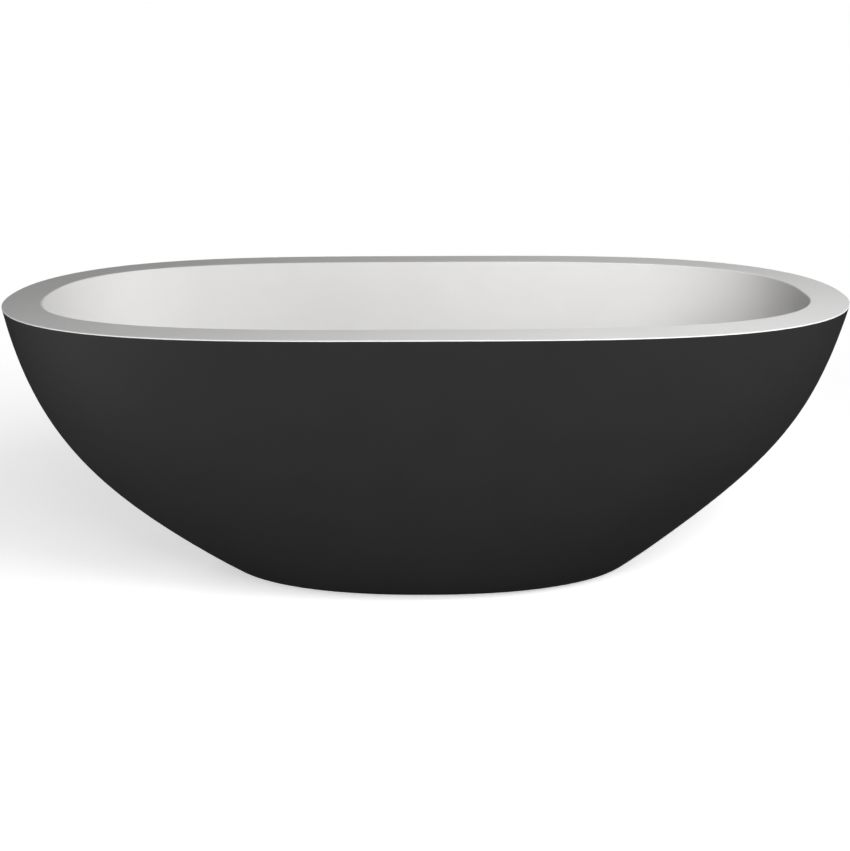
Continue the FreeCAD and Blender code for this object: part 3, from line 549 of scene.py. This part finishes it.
def nut_weld(centre):
    """A bead round the root of a welded nut."""
    rows = int(2 * math.pi * NUT_WELD_REACH / WELD_STEP)
    points = []
    for i in range(rows):
        turn = 2 * math.pi * i / rows
        outward = Vector((math.cos(turn), math.sin(turn), 0))
        radius = NUT_WELD_R + weld_ripple(i * WELD_STEP)
        place = centre + outward * NUT_WELD_REACH
        points.extend(ring_points(place, outward, Vector((0, 0, -1)), radius, WELD_SIDES))
    return points, tube_faces(rows, WELD_SIDES, closed=True)


def add_welds():
    """The beads that hold the frame's cross members and its four nuts."""
    shells = []
    for number in (1, 2, 3, 4):
        low, high = (Vector(corner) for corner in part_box(f"frame_cross_{number}"))
        for y in (low.y, high.y):
            centre = Vector(((low.x + high.x) / 2, y, (low.z + high.z) / 2))
            shells.append(cross_weld(centre, high.x - low.x, high.z - low.z))
    rail_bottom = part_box("frame_rail_front")[0][2]
    for place in PLACES:
        low, high = (Vector(corner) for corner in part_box(f"foot_stud_{place}"))
        shells.append(nut_weld(Vector(((low.x + high.x) / 2, (low.y + high.y) / 2, rail_bottom))))
    add_piece("frame_welds", shells, "root", "frame_steel")


def hose_line():
    """Points along a smooth curve through the hose's route."""
    curve = bpy.data.curves.new("hose_line", "CURVE")
    curve.dimensions = "3D"
    curve.resolution_u = 24
    spline = curve.splines.new("NURBS")
    spline.points.add(len(HOSE_ROUTE) - 1)
    for point, place in zip(spline.points, HOSE_ROUTE):
        point.co = (*place, 1.0)
    spline.order_u = 3
    spline.use_endpoint_u = True
    holder = bpy.data.objects.new("hose_line", curve)
    mesh = bpy.data.meshes.new_from_object(holder)
    line = [vertex.co.copy() for vertex in mesh.vertices]
    bpy.data.meshes.remove(mesh)
    bpy.data.objects.remove(holder)
    bpy.data.curves.remove(curve)
    return line


def at_even_steps(line, step):
    """(place, direction, run) at even steps along a line of points."""
    runs = [0.0]
    for a, b in zip(line, line[1:]):
        runs.append(runs[-1] + (b - a).length)
    count = int(runs[-1] / step)
    places, k = [], 0
    for i in range(count + 1):
        run = runs[-1] * i / count
        while k < len(line) - 2 and runs[k + 1] < run:
            k += 1
        along = line[k + 1] - line[k]
        share = (run - runs[k]) / along.length
        places.append((line[k] + along * share, run, runs[-1]))
    result = []
    for i, (place, run, total) in enumerate(places):
        ahead = places[min(i + 1, count)][0] - places[max(i - 1, 0)][0]
        result.append((place, ahead.normalized(), run, total))
    return result


def add_hose():
    """Corrugated hose with plain cuffs, clipped to the overflow and to the waste."""
    across = Vector((1, 0, 0))
    outside, inside = [], []
    stations = at_even_steps(hose_line(), HOSE_STEP)
    for place, along, run, total in stations:
        fade = max(0.0, min(1.0, (min(run, total - run) - CUFF) / RIB_PITCH))
        valley = RIB_DEPTH * fade * (0.5 - 0.5 * math.cos(2 * math.pi * run / RIB_PITCH))
        up = along.cross(across)
        outside.extend(ring_points(place, across, up, HOSE_R - valley, HOSE_SIDES))
        inside.append((place, up))
    bore = []
    for place, up in reversed(inside):
        bore.extend(ring_points(place, across, up, HOSE_BORE_R, HOSE_SIDES))
    faces = tube_faces(2 * len(stations), HOSE_SIDES, closed=True)
    piece = add_piece("corrugated_hose", [(outside + bore, faces)], "root", "hose_plastic")
    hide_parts("overflow_hose")


def add_plug_spring():
    """The click plug's return spring, its end coils closed."""
    low, high = (Vector(corner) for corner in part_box("plug_spring"))
    closed = 2.1 * SPRING_WIRE_R
    open_turns = SPRING_TURNS - 2
    open_rise = (high.z - low.z - 2 * SPRING_WIRE_R - 2 * closed) / open_turns
    count = SPRING_TURNS * SPRING_STEPS
    points = []
    for i in range(count + 1):
        turns = i / SPRING_STEPS
        ends = min(turns, 1.0) + max(0.0, turns - open_turns - 1)
        between = max(0.0, min(turns - 1.0, open_turns))
        outward = Vector((math.cos(2 * math.pi * turns), math.sin(2 * math.pi * turns), 0))
        height = low.z + SPRING_WIRE_R + ends * closed + between * open_rise
        place = outward * SPRING_COIL_R + Vector((0, 0, height))
        points.extend(ring_points(place, outward, Vector((0, 0, -1)), SPRING_WIRE_R, WIRE_SIDES))
    shells = [(points, tube_faces(count + 1, WIRE_SIDES))]
    piece = add_piece("coiled_plug_spring", shells, "root", "zinc_steel")
    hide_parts("plug_spring")
    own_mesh(piece)


# ---------------------------------------------------------------- the scene
PLACES = ("front_left", "front_right", "back_left", "back_right")

bpy.context.scene.view_settings.view_transform = "Standard"
add_camera()
add_world()
add_floor()
for light in LIGHTS:
    add_area(*light)

MATERIALS = materials_by_slot()
for subpart in frame["record"]["subparts"]:
    slots = NODES[subpart["node"]].data.materials
    slots.clear()
    slots.append(MATERIALS[subpart["material_slot"]])

for foot in PLACES:
    add_foot_stud(foot)
add_welds()
add_hose()
add_plug_spring()
